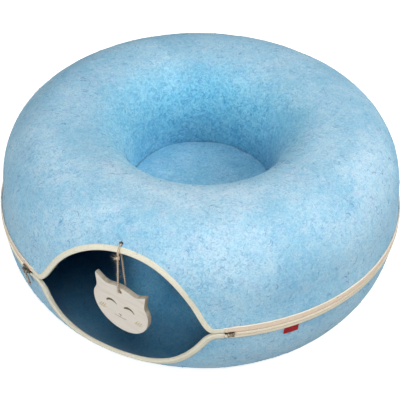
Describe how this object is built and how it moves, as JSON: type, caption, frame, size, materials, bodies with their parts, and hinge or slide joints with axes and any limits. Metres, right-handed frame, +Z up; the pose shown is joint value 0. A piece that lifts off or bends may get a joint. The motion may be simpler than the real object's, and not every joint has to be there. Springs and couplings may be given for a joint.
{
  "type": "cat tunnel bed",
  "caption": "Round donut cat tunnel of two moulded felt halves joined by zips, with a bound arched entrance, a loose middle pad and a wooden cat face on twine.",
  "frame": {"origin": "on the floor at the centre of the ring's footprint", "axes": "+Z up out of the well; -Y towards the viewer, with the entrance 21.8 degrees to the left of -Y and +X to the right"},
  "size_m": [0.4998, 0.4994, 0.2195],
  "materials": {
    "blue_felt": "matt moulded felt",
    "pad_felt": "matt felt",
    "cream_cotton": "woven cotton",
    "cream_nylon": "satin nylon coil",
    "antique_bronze": "dark antique bronze",
    "jute": "hairy jute twine",
    "whitewashed_wood": "whitewashed",
    "red_label": "plain woven label"
  },
  "bodies": {
    "lower_half": {"lower_shell": "blue_felt", "lower_entrance_binding": "cream_cotton", "side_label": "red_label", "outer_zip_lower_tape": "cream_cotton", "outer_zip_lower_teeth": "cream_nylon", "outer_zip_lower_stop": "antique_bronze", "outer_zip_retainer_box": "antique_bronze", "centre_zip_lower_tape": "cream_cotton", "centre_zip_lower_teeth": "cream_nylon", "centre_zip_lower_stop": "antique_bronze", "centre_zip_retainer_box": "antique_bronze"},
    "upper_half": {"upper_shell": "blue_felt", "upper_entrance_binding": "cream_cotton", "outer_zip_upper_tape": "cream_cotton", "outer_zip_upper_teeth": "cream_nylon", "outer_zip_upper_stop": "antique_bronze", "outer_zip_insertion_pin": "antique_bronze", "centre_zip_upper_tape": "cream_cotton", "centre_zip_upper_teeth": "cream_nylon", "centre_zip_upper_stop": "antique_bronze", "centre_zip_insertion_pin": "antique_bronze"},
    "pad": {"centre_pad": "pad_felt"},
    "outer_slider": {"outer_zip_slider": "antique_bronze"},
    "outer_pull": {"outer_zip_pull": "antique_bronze"},
    "centre_slider": {"centre_zip_slider": "antique_bronze"},
    "centre_pull": {"centre_zip_pull": "antique_bronze"},
    "hanging_twine": {"twine_loop": "jute", "twine_knot": "jute"},
    "toy": {"cat_toy": "whitewashed_wood"}
  },
  "joints": [
    {"name": "upper_half_lift", "type": "slide", "parent": "lower_half", "child": "upper_half", "axis": [0, 0, 1], "range_m": [0, 0.25], "deforming": ["outer_zip_upper_teeth", "centre_zip_upper_teeth"]},
    {"name": "pad_lift", "type": "slide", "parent": "lower_half", "child": "pad", "axis": [0, 0, 1], "range_m": [0, 0.12]},
    {"name": "outer_slider_travel", "type": "hinge", "parent": "lower_half", "child": "outer_slider", "pos_m": [0, 0, 0.1035], "axis": [0, 0, -1], "range_deg": [0, 295], "deforming": ["outer_zip_upper_teeth", "outer_zip_lower_teeth"]},
    {"name": "outer_pull_swing", "type": "hinge", "parent": "outer_slider", "child": "outer_pull", "pos_m": [-0.20224, -0.15147, 0.1035], "axis": [-0.7977, -0.6031, 0], "range_deg": [0, 104]},
    {"name": "centre_slider_travel", "type": "hinge", "parent": "lower_half", "child": "centre_slider", "pos_m": [0, 0, 0.109], "axis": [0, 0, -1], "range_deg": [0, 332], "deforming": ["centre_zip_upper_teeth", "centre_zip_lower_teeth"]},
    {"name": "centre_pull_swing", "type": "hinge", "parent": "centre_slider", "child": "centre_pull", "pos_m": [0.01992, 0.09448, 0.109], "axis": [0.2066, 0.9784, 0], "range_deg": [0, 104]},
    {"name": "toy_swing", "type": "hinge", "parent": "upper_half", "child": "hanging_twine", "pos_m": [-0.08488, -0.21223, 0.18784], "axis": [0.9285, -0.3714, 0], "range_deg": [-45, 40], "deforming": ["twine_loop"]},
    {"name": "toy_turn", "type": "hinge", "parent": "hanging_twine", "child": "toy", "pos_m": [-0.08395, -0.21209, 0.1315], "axis": [0, 0, 1], "range_deg": [-20, 20], "deforming": ["twine_loop"]}
  ]
}
